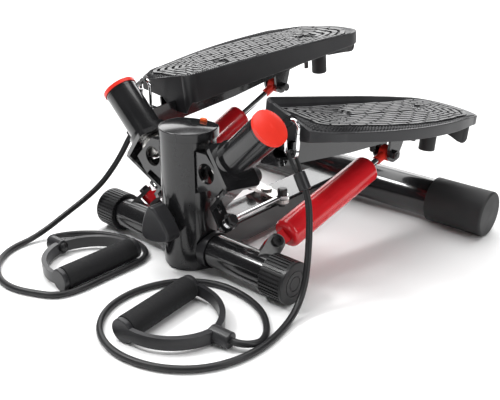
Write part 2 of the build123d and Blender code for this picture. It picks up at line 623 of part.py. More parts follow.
def carabiner(hang):
    path = FilletPolyline(*CARABINER_SHAPE, radius=[8.0, 8.0, 5.0, 5.0])
    start = Plane(origin=path @ 0, z_dir=path % 0)
    return carabiner_place(hang) * sweep(start * Circle(CARABINER_R), path=path)


def carabiner_gate(hang):
    """Sprung gate: a straight bar with a ball end, bored for its rivet."""
    top, pivot = Vector(*GATE_TOP, 0), Vector(*GATE_PIVOT, 0)
    gate = rod(pivot, top, GATE_R) + Pos(*pivot) * Sphere(GATE_R)
    return carabiner_place(hang) * (gate - Pos(*pivot) * Cylinder(0.8, 10))


def gate_rivet(hang):
    return carabiner_place(hang) * Pos(*GATE_PIVOT, 0) * Cylinder(0.75, 5.4)


# How each doubled band leaves its carabiner, before the left one is mirrored.
BAND_RUN = {"right": Vector(0.553, -0.083, -0.829), "left": Vector(0.36, -0.40, -0.843)}
LOOP_R, FERRULE_R, FERRULE_START, FERRULE_END = 2.0, 6.5, 18.0, 37.0
HANG = {"right": HANG_RIGHT, "left": HANG_LEFT}


def loop_frame(side):
    """Origin on the carabiner's bottom bar, x down the band, y across it."""
    foot = HANG[side] + Vector(1.5, 0, -38)
    run = BAND_RUN[side].normalized()
    return Plane(origin=foot, x_dir=run, z_dir=run.cross(Vector(0, 1, 0))).location


def band_loop(side):
    """The band's doubled end, over the carabiner's bottom bar and into the ferrule."""
    reach = CARABINER_R + LOOP_R + 0.35
    back = reach / hypot(BAND_RUN[side].Y, BAND_RUN[side].Z)
    neck = FERRULE_START + 2
    points = [(neck, -2.4), (9, -reach), (-back, -reach), (-back, reach), (9, reach), (neck, 2.4)]
    path = FilletPolyline(*points, radius=[14, reach - 0.1, reach - 0.1, 14])
    start = Plane(origin=path @ 0, z_dir=path % 0)
    return loop_frame(side) * sweep(start * Circle(LOOP_R), path=path)


def ferrule(side):
    """Crimped sleeve: the doubled end goes in at the top, the tube leaves below."""
    barrel = along_pin(FERRULE_R, FERRULE_START, FERRULE_END)
    barrel = fillet(barrel.edges().filter_by(GeomType.CIRCLE), 1.2)
    barrel -= block((FERRULE_START - 1, FERRULE_START + 2.6), (-5.1, 5.1), (-2.2, 2.2))
    return loop_frame(side) * (barrel - along_pin(BAND_R + 0.02, FERRULE_END - 6, FERRULE_END + 4))


RIGHT_ROUTE = [
    (145.5, 26.0, 93.5), (152.5, 17.5, 72.0), (158.0, 9.0, 50.0), (162.5, 0.0, 29.0), (167.0, -17.0, 11.0),
    (172.5, -43.0, FLOOR_Z), (178.5, -80.0, FLOOR_Z), (174.0, -116.0, FLOOR_Z), (156.0, -149.0, FLOOR_Z),
    (122.0, -173.0, FLOOR_Z), (80.0, -181.0, FLOOR_Z), (41.0, -169.0, FLOOR_Z), (14.0, -136.0, FLOOR_Z),
    (10.0, -92.0, FLOOR_Z), (28.0, -52.0, FLOOR_Z), (64.0, -27.0, FLOOR_Z), (103.0, -26.0, FLOOR_Z),
    (138.0, -36.5, FLOOR_Z), (163.2, -58.5, FLOOR_Z), (172.1, -75.9, 4.8), (172.0, -85.9, 6.3),
    (167.3, -94.7, 7.8),
]
LEFT_ROUTE = [
    (-129.5, 8.0, 97.0), (-138.0, -2.5, 76.5), (-146.5, -16.0, 57.5), (-155.0, -35.0, 42.0),
    (-163.0, -58.0, 28.0), (-170.5, -81.0, 14.0), (-176.0, -103.0, 4.6), (-175.5, -127.0, FLOOR_Z),
    (-164.0, -149.0, FLOOR_Z), (-145.0, -167.0, FLOOR_Z), (-118.0, -179.0, FLOOR_Z), (-90.0, -179.5, FLOOR_Z),
    (-65.0, -169.5, FLOOR_Z), (-43.0, -158.0, FLOOR_Z), (-35.0, -136.0, FLOOR_Z), (-35.5, -100.0, FLOOR_Z),
    (-34.5, -65.0, FLOOR_Z), (-37.0, -39.5, FLOOR_Z), (-54.0, -26.0, FLOOR_Z), (-79.0, -22.0, FLOOR_Z),
    (-104.0, -25.0, FLOOR_Z), (-126.0, -34.5, FLOOR_Z), (-143.5, -47.5, FLOOR_Z), (-155.4, -62.0, 3.9),
    (-159.6, -76.8, 5.2), (-158.1, -84.6, 6.8), (-153.2, -91.0, 8.2),
]


def band_route(side):
    """Hand-chosen points from the ferrule's mouth to the handle's block."""
    frame = loop_frame(side)
    mouth = (frame * Pos(FERRULE_END - 6, 0, 0)).position
    lead = (frame * Pos(FERRULE_END + 5, 0, 0)).position
    handle = handle_place(side)
    entry = (handle * Pos(BLOCK_OUT - 6, 0, 0)).position
    exit_point = (handle * Pos(BLOCK_OUT + 4.2, 0, 0)).position
    if side == "left":
        mouth, lead = [Vector(-p.X, p.Y, p.Z) for p in (mouth, lead)]
    points = RIGHT_ROUTE if side == "right" else LEFT_ROUTE
    return [mouth, lead] + [Vector(*p) for p in points] + [exit_point, entry]


def corner_radii(points):
    radii = []
    for before, here, after in zip(points, points[1:], points[2:]):
        run_in, run_out = here - before, after - here
        turn = radians(run_in.get_angle(run_out))
        radii.append(0.45 * min(run_in.length, run_out.length) / tan(turn / 2))
    return radii


def band_tube(side):
    points = band_route(side)
    radii = corner_radii(points)
    path = FilletPolyline(*points, radius=radii)
    tube = sweep(Plane(origin=path @ 0, z_dir=path % 0) * Circle(BAND_R), path=path)
    expected = pi * BAND_R ** 2 * path.length
    print(side, "band length %.0f, volume ratio %.4f" % (path.length, tube.volume / expected))
    print("  radii", [round(r) for r in radii])
    print("  points", [tuple(round(v, 1) for v in p) for p in (points[0], points[1], points[-2], points[-1])])
    return tube


# ---------------------------------------------------------------- handles
# Each handle lies on the floor: the grip's middle, the way its block points, and a slight tilt down to it.
HANDLE = {"right": (Vector(65.0, -111.0, GRIP_Z), 6.5), "left": (Vector(-53.0, -94.5, GRIP_Z), 180.0)}
HANDLE_TILT = 2.7
BLOCK_IN, BLOCK_OUT, BLOCK_R, STRAP_H, SOCKET = 67.0, 90.0, 8.3, 13.0, 6.0


def handle_place(side):
    center, heading = HANDLE[side]
    return Pos(*center) * Rot(0, 0, heading) * Rot(0, HANDLE_TILT, 0)


def d_outline(back, half, shoulder, nose, nose_half):
    """D shape: straight at the grip, then one arc each side to the nose."""
    bend = 12.0
    return make_face([
        Line((back, -half), (bend, -half)),
        ThreePointArc((bend, -half), (shoulder, -half * 0.72), (nose, -nose_half)),
        Line((nose, -nose_half), (nose, nose_half)),
        ThreePointArc((nose, nose_half), (shoulder, half * 0.72), (bend, half)),
        Line((bend, half), (back, half)),
        Line((back, half), (back, -half)),
    ])


def handle_bracket(side):
    """D-shaped strap from grip end to grip end, with the block that holds the band's knot."""
    half = GRIP_HALF + SOCKET
    strap = d_outline(0, half, 53.0, BLOCK_IN + 6, 9) - d_outline(-2, half - 4.7, 48.5, BLOCK_IN, 5.5)
    strap = extrude(Pos(0, 0, -STRAP_H / 2) * strap, STRAP_H)
    for sign in (-1, 1):
        socket = Pos(0, sign * (half - SOCKET / 2), 0) * Rot(90, 0, 0) * Cylinder(GRIP_R - 0.5, SOCKET - 0.1)
        socket = fillet(socket.edges().filter_by(GeomType.CIRCLE), 1.5)
        strap += socket
    outer = along_pin(BLOCK_R, BLOCK_IN, BLOCK_OUT)
    strap += fillet(outer.edges().filter_by(GeomType.CIRCLE), 1.2)
    strap -= along_pin(BAND_R + 0.02, BLOCK_OUT - 6, BLOCK_OUT + 5)
    strap -= along_pin(6.3, BLOCK_IN - 4, BLOCK_IN + 8)
    strap -= Rot(90, 0, 0) * Cylinder(GRIP_CORE_R + 0.02, 2 * (half - 2))
    return handle_place(side) * strap


def grip_core(side):
    core = Rot(90, 0, 0) * (Cylinder(GRIP_CORE_R, 2 * (GRIP_HALF + SOCKET - 2.1)) - Cylinder(GRIP_CORE_R - 1.5, 120))
    return handle_place(side) * core


def foam_grip(side):
    foam = Rot(90, 0, 0) * (Cylinder(GRIP_R, 2 * GRIP_HALF) - Cylinder(GRIP_CORE_R + 0.02, 120))
    rims = [edge for edge in foam.edges().filter_by(GeomType.CIRCLE) if edge.radius > GRIP_R - 1]
    return handle_place(side) * fillet(rims, 1.5)


def band_knot(side):
    """The band's knotted end, inside the handle's block."""
    return handle_place(side) * Pos(BLOCK_IN + 1.8, 0, 0) * Sphere(6.0)


# ---------------------------------------------------------------- write every node
def main():
    os.makedirs("parts", exist_ok=True)
    save("front_tube", front_tube())
    save("front_end_caps", both(front_cap()))
    save("tube_collars", both(tube_collar()))
    save("rear_tube", rear_tube())
    save("rear_end_caps", both(rear_cap()))
    save("center_beam", center_beam())
    save("column_tube", column_tube())
    save("column_foot", column_foot())
    save("column_cover", column_cover())
    save("console_housing", console_housing())
    save("console_display", console_display())
    save("console_button", console_button())
    save("circuit_board", circuit_board())
    save("height_knob", height_knob())
    save("knob_spindle", knob_spindle())
    save("hinge_brackets", both(hinge_bracket()))
    save("stop_caps", both(stop_cap()))
    save("hinge_axles", both(hinge_axle()))
    save("axle_nuts", [nut for one in axle_nuts() for nut in both(one)])
    save("thrust_washers", [washer for one in thrust_washers() for washer in both(one)])
    save("hub_caps", both(hub_cap()))
    save("band_eye_plates", [band_eye_plate(HANG_RIGHT), sided(band_eye_plate(HANG_LEFT), "left")])
    save("cylinder_clevises", both(cylinder_clevis()))
    save("clevis_bolts", both(clevis_bolt()))
    save("rocker_pivot", rocker_pivot())
    save("rocker_plate", rocker_plate())
    save("rocker_bolts", rocker_bolts())
    save("carabiners", [sided(make(HANG[side]), side) for side in HANG for make in (carabiner, gate_rivet)])
    save("band_loops", [sided(band_loop(side), side) for side in HANG])
    save("band_ferrules", [sided(ferrule(side), side) for side in HANG])
    save("band_knots", [band_knot(side) for side in HANG])
    save("handle_brackets", [handle_bracket(side) for side in HANG])
    save("grip_cores", [grip_core(side) for side in HANG])
    save("foam_grips", [foam_grip(side) for side in HANG])
    for side in ("left", "right"):
        save(f"{side}_hub_sleeve", seat(hub_sleeve(), side))
        save(f"{side}_hub_bushes", [seat(bush, side) for bush in hub_bushes()])
        save(f"{side}_hub_crank", seat(hub_crank(), side))
        save(f"{side}_pedal_arm", seat(pedal_arm(), side))
        save(f"{side}_pedal", seat(pedal(), side))
        save(f"{side}_bumper", seat(pedal_bumper(), side))
        save(f"{side}_pedal_bolts", [seat(bolt, side) for bolt in pedal_bolts()])
        save(f"{side}_link", link(side))
        save(f"{side}_cylinder", lift_cylinder(side))
        save(f"{side}_piston_rod", piston_rod(side))
        save(f"{side}_rod_eye", rod_eye(side))
        save(f"{side}_carabiner_gate", sided(carabiner_gate(HANG[side]), side))
        save(f"{side}_band", band_tube(side))


main()
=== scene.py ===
import json
from math import atan2, cos, hypot, pi, radians, sin

import bmesh
import bpy
import numpy as np
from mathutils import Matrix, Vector


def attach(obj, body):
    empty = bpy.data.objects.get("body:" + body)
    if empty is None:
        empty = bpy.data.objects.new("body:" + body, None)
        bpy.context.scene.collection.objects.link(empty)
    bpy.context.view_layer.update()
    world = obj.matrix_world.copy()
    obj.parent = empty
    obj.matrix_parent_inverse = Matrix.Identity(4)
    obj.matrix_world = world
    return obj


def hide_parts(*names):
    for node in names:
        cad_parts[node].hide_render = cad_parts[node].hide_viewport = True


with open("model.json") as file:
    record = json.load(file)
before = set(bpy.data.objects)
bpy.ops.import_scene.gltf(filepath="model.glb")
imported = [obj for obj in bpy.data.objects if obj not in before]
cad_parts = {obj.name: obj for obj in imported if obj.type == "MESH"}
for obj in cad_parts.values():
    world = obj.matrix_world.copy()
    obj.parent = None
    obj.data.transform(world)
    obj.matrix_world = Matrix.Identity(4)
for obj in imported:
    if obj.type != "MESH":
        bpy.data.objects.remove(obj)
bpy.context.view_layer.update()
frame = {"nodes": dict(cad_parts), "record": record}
nodes = frame["nodes"]
MM = 0.001

# ---------------------------------------------------------------- camera, floor and light, in metres
CAMERA_AT = Vector((0.5264, -0.4940, 0.3855))
CAMERA_AIM = Vector((0.0242, 0.0722, 0.0576))
CAMERA_LENS, SENSOR_WIDTH, CLIP_START = 50.24, 36.0, 0.01
WORLD_STRENGTH = 0.07
SUN_STRENGTH, SUN_ANGLE, SUN_TURN = 3.5, 1.2, (radians(-12), radians(-14), 0)
LIT_CENTRE = Vector((0.0, 0.08, 0.08))
AREA_LIGHTS = [                   # name, place, width, height, power
    ("key", (-0.7, -0.6, 1.3), 0.3, 0.3, 11.0),
    ("side_strip", (1.3, 0.0, 0.75), 0.1, 1.0, 6.0),
    ("front_strip", (0.15, -1.3, 0.5), 0.07, 0.8, 2.2),
    ("backdrop", (-1.3, 1.6, 0.75), 2.6, 0.9, 22.0),
]
FLOOR_HALF, FLOOR_GREY, FLOOR_ROUGH = 6.0, 0.93, 0.7


def add_object(name, data):
    """A new object in the scene for some data."""
    thing = bpy.data.objects.new(name, data)
    bpy.context.scene.collection.objects.link(thing)
    return thing


def aimed(place, aim):
    """The rotation that points a camera or a light from a place towards an aim."""
    return (aim - Vector(place)).to_track_quat("-Z", "Y").to_euler()


def add_camera():
    data = bpy.data.cameras.new("camera")
    data.lens = CAMERA_LENS
    data.sensor_width = SENSOR_WIDTH
    data.clip_start = CLIP_START
    camera = add_object("camera", data)
    camera.location = CAMERA_AT
    camera.rotation_euler = aimed(CAMERA_AT, CAMERA_AIM)
    bpy.context.scene.camera = camera


def add_world():
    world = bpy.data.worlds.new("studio")
    bpy.context.scene.world = world
    world.use_nodes = True
    background = world.node_tree.nodes["Background"]
    background.inputs["Color"].default_value = (1.0, 1.0, 1.0, 1.0)
    background.inputs["Strength"].default_value = WORLD_STRENGTH
    bpy.context.scene.view_settings.view_transform = "Standard"


def add_sun():
    sun = bpy.data.lights.new("sky_panel", "SUN")
    sun.energy = SUN_STRENGTH
    sun.angle = SUN_ANGLE
    add_object("sky_panel", sun).rotation_euler = SUN_TURN


def add_area_light(name, place, width, height, power):
    data = bpy.data.lights.new(name, "AREA")
    data.shape = "RECTANGLE"
    data.size = width
    data.size_y = height
    data.energy = power
    light = add_object(name, data)
    light.location = place
    light.rotation_euler = aimed(place, LIT_CENTRE)


def add_floor():
    half = FLOOR_HALF
    corners = [(-half, -half, 0), (half, -half, 0), (half, half, 0), (-half, half, 0)]
    mesh = bpy.data.meshes.new("floor")
    mesh.from_pydata(corners, [], [(0, 1, 2, 3)])
    floor = add_object("floor", mesh)
    material, _, bsdf = shader("floor_white")
    bsdf.inputs["Base Color"].default_value = rgba(FLOOR_GREY)
    bsdf.inputs["Roughness"].default_value = FLOOR_ROUGH
    mesh.materials.append(material)


# ---------------------------------------------------------------- materials
RAMP_START, RAMP_END = 0.35, 0.65
PATCH_DETAIL, GRAIN_DETAIL = 4.0, 2.0
COAT_ROUGH = 0.06


def shader(name):
    """A new material, its node tree and its principled shader."""
    material = bpy.data.materials.new(name)
    material.use_nodes = True
    tree = material.node_tree
    return material, tree, tree.nodes["Principled BSDF"]


def rgba(value):
    """A colour, or a grey given as one number, with full alpha."""
    return (*value, 1.0) if hasattr(value, "__len__") else (value, value, value, 1.0)


def noise(tree, scale, detail):
    """Noise over object coordinates, with its scale in cycles a metre."""
    coords = tree.nodes.new("ShaderNodeTexCoord")
    texture = tree.nodes.new("ShaderNodeTexNoise")
    texture.inputs["Scale"].default_value = scale
    texture.inputs["Detail"].default_value = detail
    tree.links.new(coords.outputs["Object"], texture.inputs["Vector"])
    return texture.outputs["Fac"]


def ramp(tree, factor, low, high):
    """Greys or colours blended between two ends by a factor."""
    node = tree.nodes.new("ShaderNodeValToRGB")
    first, last = node.color_ramp.elements
    first.position, last.position = RAMP_START, RAMP_END
    first.color, last.color = rgba(low), rgba(high)
    tree.links.new(factor, node.inputs["Fac"])
    return node.outputs["Color"]


def finish_surface(name, color, rough, metallic=0.0, coat=0.0, spread=0.12, patch=35.0,
                   grain=900.0, bump=0.1, bump_depth=0.0001, specular=0.36):
    """A surface whose colour and gloss drift over patches, with a fine grain as bump."""
    material, tree, bsdf = shader(name)
    drift = noise(tree, patch, PATCH_DETAIL)
    dark = [c * (1 - spread) for c in color]
    light = [min(1.0, c * (1 + spread)) for c in color]
    tree.links.new(ramp(tree, drift, dark, light), bsdf.inputs["Base Color"])
    glossy, matt = rough * (1 - spread), min(1.0, rough * (1 + spread))
    tree.links.new(ramp(tree, drift, glossy, matt), bsdf.inputs["Roughness"])
    bsdf.inputs["Metallic"].default_value = metallic
    bsdf.inputs["Specular IOR Level"].default_value = specular
    if coat:
        bsdf.inputs["Coat Weight"].default_value = coat
        bsdf.inputs["Coat Roughness"].default_value = COAT_ROUGH
    if bump:
        node = tree.nodes.new("ShaderNodeBump")
        node.inputs["Strength"].default_value = bump
        node.inputs["Distance"].default_value = bump_depth
        tree.links.new(noise(tree, grain, GRAIN_DETAIL), node.inputs["Height"])
        tree.links.new(node.outputs["Normal"], bsdf.inputs["Normal"])
    return material


def make_materials():
    return {
        "black_powder_coat": finish_surface("black_gloss_paint", (0.012, 0.012, 0.013), 0.2, coat=0.6,
                                            grain=500, bump=0.12, bump_depth=0.00008),
        "charcoal_plastic": finish_surface("charcoal_satin_plastic", (0.022, 0.022, 0.024), 0.33,
                                           grain=1500, bump=0.15, bump_depth=0.00006),
        "polished_plastic": finish_surface("polished_black_plastic", (0.014, 0.014, 0.015), 0.16, coat=0.3,
                                           grain=700, bump=0.08, bump_depth=0.00005),
        "ribbed_plastic": finish_surface("ribbed_cap_plastic", (0.022, 0.022, 0.023), 0.38,
                                         grain=1300, bump=0.2, bump_depth=0.00008),
        "pedal_plastic": finish_surface("moulded_pedal_plastic", (0.021, 0.021, 0.023), 0.42,
                                        grain=1700, bump=0.3, bump_depth=0.0001),
        # The top faces of the ribs and hatch: the pedal's plastic painted lighter as a highlight; only the
        # lower roughness is real gloss.
        "pedal_rib_painted_highlight": finish_surface("moulded_rib_tops_painted_highlight", (0.036, 0.036, 0.038), 0.34,
                                     grain=1700, bump=0.2, bump_depth=0.0001),
        "black_rubber": finish_surface("black_rubber", (0.022, 0.022, 0.023), 0.55,
                                       grain=1100, bump=0.25, bump_depth=0.0001),
        "band_rubber": finish_surface("band_tube_rubber", (0.014, 0.014, 0.015), 0.38,
                                      grain=800, bump=0.1, bump_depth=0.00006),
        "grip_foam": finish_surface("grip_foam", (0.016, 0.016, 0.017), 0.92, spread=0.25, patch=300,
                                    grain=1600, bump=0.8, bump_depth=0.0003, specular=0.25),
        "black_oxide_steel": finish_surface("black_oxide_steel", (0.018, 0.018, 0.019), 0.3, specular=0.6,
                                            grain=900, bump=0.15, bump_depth=0.00006),
        "dull_steel": finish_surface("dull_steel", (0.2, 0.2, 0.2), 0.38, metallic=1.0,
                                     patch=120, grain=700, bump=0.15, bump_depth=0.00006),
        "zinc_steel": finish_surface("zinc_plated_steel", (0.62, 0.61, 0.59), 0.3, metallic=1.0,
                                     patch=120, grain=600, bump=0.1, bump_depth=0.00006),
        "chrome": finish_surface("chrome", (0.78, 0.78, 0.79), 0.08, metallic=1.0, spread=0.05, bump=0.0),
        "red_plastic": finish_surface("red_plastic", (0.78, 0.035, 0.02), 0.32, spread=0.05,
                                      grain=1200, bump=0.08, bump_depth=0.00005),
        "red_paint": finish_surface("red_cylinder_paint", (0.74, 0.014, 0.022), 0.26, coat=0.5, spread=0.06,
                                    grain=450, bump=0.12, bump_depth=0.00008),
        "orange_plastic": finish_surface("orange_plastic", (0.9, 0.12, 0.02), 0.35, spread=0.04,
                                         grain=1200, bump=0.05),
        "display_lens": finish_surface("display_lens", (0.02, 0.022, 0.022), 0.08, coat=0.4,
                                       spread=0.05, bump=0.0),
        "circuit_board": finish_surface("circuit_board", (0.02, 0.16, 0.05), 0.5, patch=200),
        "nylon": finish_surface("nylon_bush", (0.7, 0.67, 0.6), 0.45, spread=0.05),
    }


# Nodes that wear another finish than their slot's.
OTHER_FINISH = {"column_cover": "polished_plastic", "console_housing": "polished_plastic",
                "handle_brackets": "charcoal_plastic"}


def dress_cad():
    """Every carried-over CAD node gets its slot's finish, or the one chosen for it."""
    for part in frame["record"]["subparts"]:
        look = OTHER_FINISH.get(part["node"], part["material_slot"])
        for material_slot in nodes[part["node"]].material_slots:
            material_slot.material = materials[look]


# ---------------------------------------------------------------- bands, in millimetres
BAND_RADIUS = 3.5
RIGHT_BAND = [
    (133.3, 30.4, 119.5), (139.4, 29.5, 110.4),
    (145.5, 26.0, 93.5), (152.5, 17.5, 72.0), (158.0, 9.0, 50.0), (162.5, 0.0, 29.0), (167.0, -17.0, 11.0),
    (172.5, -43.0, 3.7), (178.5, -80.0, 3.7), (174.0, -116.0, 3.7), (156.0, -149.0, 3.7),
    (122.0, -173.0, 3.7), (80.0, -181.0, 3.7), (41.0, -169.0, 3.7), (14.0, -136.0, 3.7),
    (10.0, -92.0, 3.7), (28.0, -52.0, 3.7), (64.0, -27.0, 3.7), (103.0, -26.0, 3.7),
    (138.0, -36.5, 3.7), (163.2, -58.5, 3.7), (172.1, -75.9, 4.8), (172.0, -85.9, 6.3),
    (167.3, -94.7, 7.8), (158.5, -100.3, 8.6), (148.4, -101.5, 9.1),
]
LEFT_BAND = [
    (-119.7, 20.0, 124.5), (-123.6, 15.6, 115.2),
    (-129.5, 8.0, 97.0), (-138.0, -2.5, 76.5), (-146.5, -16.0, 57.5), (-155.0, -35.0, 42.0),
    (-163.0, -58.0, 28.0), (-170.5, -81.0, 14.0), (-176.0, -103.0, 4.6), (-175.5, -127.0, 3.7),
    (-164.0, -149.0, 3.7), (-145.0, -167.0, 3.7), (-118.0, -179.0, 3.7), (-90.0, -179.5, 3.7),
    (-65.0, -169.5, 3.7), (-43.0, -158.0, 3.7), (-35.0, -136.0, 3.7), (-35.5, -100.0, 3.7),
    (-34.5, -65.0, 3.7), (-37.0, -39.5, 3.7), (-54.0, -26.0, 3.7), (-79.0, -22.0, 3.7),
    (-104.0, -25.0, 3.7), (-126.0, -34.5, 3.7), (-143.5, -47.5, 3.7), (-155.4, -62.0, 3.9),
    (-159.6, -76.8, 5.2), (-158.1, -84.6, 6.8), (-153.2, -91.0, 8.2), (-147.1, -94.5, 8.6),
    (-136.9, -94.5, 9.1),
]


def band(side, points):
    data = bpy.data.curves.new(f"{side}_band_tube", "CURVE")
    data.dimensions = "3D"
    data.bevel_depth = BAND_RADIUS * MM
    data.bevel_resolution = 6
    data.resolution_u = 16
    spline = data.splines.new("NURBS")
    spline.points.add(len(points) - 1)
    for point, place in zip(spline.points, points):
        point.co = (*[c * MM for c in place], 1.0)
    spline.order_u = 3
    spline.use_endpoint_u = True
    tube = add_object(f"{side}_band_tube", data)
    data.materials.append(materials["band_rubber"])
    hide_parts(f"{side}_band")
    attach(tube, "base_frame")


# ---------------------------------------------------------------- mesh helpers
CREASE = 0.45                     # radians between faces past which an edge stays sharp
WELD_DISTANCE = 0.00001           # metres


def smooth_by_angle(mesh, limit):
    """Smooth faces, with every edge sharper than the limit kept as a crease."""
    mesh.polygons.foreach_set("use_smooth", np.ones(len(mesh.polygons), bool))
    bm = bmesh.new()
    bm.from_mesh(mesh)
    sharp = [len(edge.link_faces) != 2 or edge.calc_face_angle(4.0) > limit for edge in bm.edges]
    bm.free()
    mesh.edges.foreach_set("use_edge_sharp", np.array(sharp, bool))
    mesh.update()


def new_piece(name, vertices, faces, material, body, instead_of):
    """A mesh in millimetres becomes a piece that rides on a body in place of a CAD node."""
    mesh = bpy.data.meshes.new(name)
    mesh.from_pydata([tuple(c * MM for c in v) for v in vertices], [], faces)
    mesh.validate()
    piece = add_object(name, mesh)
    bm = bmesh.new()
    bm.from_mesh(mesh)
    bmesh.ops.recalc_face_normals(bm, faces=bm.faces)
    bm.to_mesh(mesh)
    bm.free()
    smooth_by_angle(mesh, CREASE)
    mesh.materials.append(materials[material])
    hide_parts(instead_of)
    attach(piece, body)
    return piece


def weld(mesh):
    """Merge the points that meet along the spine, which also drops faces left with no area."""
    bm = bmesh.new()
    bm.from_mesh(mesh)
    bmesh.ops.remove_doubles(bm, verts=bm.verts, dist=WELD_DISTANCE)
    bmesh.ops.recalc_face_normals(bm, faces=bm.faces)
    bm.to_mesh(mesh)
    bm.free()


# ---------------------------------------------------------------- pedals, in millimetres
# Each is drawn at mid travel on the +X side: inner side at low x, toe at low y, heel at high y.
HUB = np.array([65.0, 0.0, 136.0])
TILT, REST = radians(46.5), radians(9.22)
SPACING = 0.75                    # between neighbouring points round the edge
OUTLINE = [                       # single corners, and arcs as start, middle, end and perhaps steps
    [(46, 62)],
    [(43.5, 325), (52, 348), (74, 358.5)],
    [(74, 358.5), (97, 360), (119, 353.5)],
    [(119, 353.5), (137, 342), (149, 317)],
    [(149, 317), (168.5, 200), (150, 74), 60],
    [(150, 74), (143, 54), (129, 41)],
    [(129, 41)],
    [(62, 52), (50, 54.5), (46, 62)],
]

# The tread is a plane through one point, falling outwards and towards the heel.
TREAD_X, TREAD_Y, TREAD_Z = 90.0, 135.0, 181.0
FALL_OUTWARDS, FALL_TO_HEEL = 0.03, 0.033

# Heights of the rim along y, on each side, and where across the pedal one runs out to the other.
INNER_RIM = ([60, 140, 220, 300, 340, 362], [195.6, 191.4, 186.8, 181.0, 177.7, 176.3])
OUTER_RIM = ([41, 280, 300, 320, 340, 362], [178.4, 178.0, 176.7, 175.2, 173.5, 172.3])
RIM_FROM_X, RIM_RUN = 46, 85
RIM_TOP, RIM_FALL = 3.3, 5.0      # depth of the flat on the rim, and of the slope inside it
TALL_FROM, TALL_RUN = 2.0, 3.0    # rise over the tread at which a rim starts to count as tall
EDGE_EASE = 0.7
TEETH_FROM, TEETH_TO, TOOTH_HEIGHT, TOOTH_PERIOD = 1.5, 3.0, 0.8, 4

# Lower edge of the skirt, the fin under the heel and the toe's wall.
OUTER_SKIRT = ([41, 70, 160, 300, 345], [169.5, 169.0, 165.5, 165.0, 163.0])
INNER_SKIRT, SKIRT_FROM_X, SKIRT_RUN = 161.5, 100, 45
FIN_LOW, FIN_FROM_Y, FIN_FROM_X, FIN_TO_X, FIN_RADIUS = 130.5, 336, 62, 126, 9
FIN_SLOPE, FIN_SLOPE_TO_X = 0.28, 110
TOE_WALL = ([50, 60, 86, 98], [161.5, 146.0, 147.0, 161.5])
TOE_TO_Y = 60
SKIRT_WALL, SKIRT_EASE = 3.0, 0.6

# Rings follow the edge at depths measured towards the spine.
SPINE_X, SPINE_FROM_Y, SPINE_TO_Y = 104.0, 112, 264
FULL_DEPTH = 58.0                 # nominal distance from the edge to the spine
RIM_DEPTHS = (0.0, 0.5, 1.1, 1.5, 3.0, 3.5, 4.3)
HATCH_DEPTHS = (4.7, 6.2, 7.7, 9.2, 10.7, 12.2)
GROOVE_DEPTHS = (12.6, 14.0)
UNDERSIDE = ((3.0, 7.5), (4.5, 5.0), (FULL_DEPTH, 5.0))      # depth, and drop below the tread
HATCH_HEIGHT, HATCH_PERIOD, HATCH_TO_Y = 1.3, 6, 335
RIB_HEIGHT, RIB_PITCH, RIB_WIDTH, RIB_FLANK, FIRST_RIB, RIB_LOOPS = 2.2, 6.2, 4.4, 0.35, 14.6, 7
RIB_PERIOD, RIB_GAP, RIB_STAGGER = 42, 3, 17                 # counted in points round the edge
WAVE_HEIGHT, WAVE_LENGTH, WAVE_SHIFT = 0.7, 47, 0.9
PLAIN, HATCH = 0, -1              # ring kinds; a rib's ring has its loop's number instead

SCREWS = [(90.0, 134.0), (89.0, 284.0)]
SCREW_CLEARING, SCREW_RADIUS, SCREW_SINK = 9.0, 6.6, 2.15


def seated(points, side):
    """Points drawn at mid travel, turned round the hub axis to where that side's pedal is stored."""
    axis = np.array([sin(TILT), 0.0, cos(TILT)])
    angle = -REST if side == "right" else REST
    arm = points - HUB
    along = arm @ axis
    turned = arm * cos(angle) + np.cross(axis, arm) * sin(angle)
    turned = turned + np.outer(along, axis) * (1 - cos(angle)) + HUB
    return turned if side == "right" else turned * np.array([-1.0, 1.0, 1.0])


def arc(start, middle, end, steps=24):
    """Points on the circle through three points, without the last one."""
    (ax, ay), (bx, by), (cx, cy) = start, middle, end
    turn = 2 * (ax * (by - cy) + bx * (cy - ay) + cx * (ay - by))
    a2, b2, c2 = ax * ax + ay * ay, bx * bx + by * by, cx * cx + cy * cy
    centre_x = (a2 * (by - cy) + b2 * (cy - ay) + c2 * (ay - by)) / turn
    centre_y = (a2 * (cx - bx) + b2 * (ax - cx) + c2 * (bx - ax)) / turn
    angles = np.unwrap([atan2(y - centre_y, x - centre_x) for x, y in (start, middle, end)])
    sweep = np.linspace(angles[0], angles[2], steps, endpoint=False)
    radius = hypot(ax - centre_x, ay - centre_y)
    return [(centre_x + radius * cos(t), centre_y + radius * sin(t)) for t in sweep]


def pedal_edge():
    """Evenly spaced points round the pedal: inner side, heel, bowed outer side, toe."""
    line = []
    for stretch in OUTLINE:
        line += stretch if len(stretch) == 1 else arc(*stretch)
    line = np.array(line + [line[0]])
    travel = np.concatenate([[0], np.cumsum(np.hypot(*np.diff(line, axis=0).T))])
    count = HATCH_PERIOD * round(travel[-1] / SPACING / HATCH_PERIOD)
    places = np.arange(count) * travel[-1] / count
    return np.column_stack([np.interp(places, travel, line[:, k]) for k in (0, 1)])


def tread_height(x, y):
    return TREAD_Z - FALL_TO_HEEL * (y - TREAD_Y) - FALL_OUTWARDS * (x - TREAD_X)


def rim_height(x, y):
    """The rim is tall along the inner side and the toe's inner end, and runs out to the outer side."""
    inner = np.interp(y, *INNER_RIM)
    outer = np.interp(y, *OUTER_RIM)
    return inner + (outer - inner) * np.clip((x - RIM_FROM_X) / RIM_RUN, 0, 1)


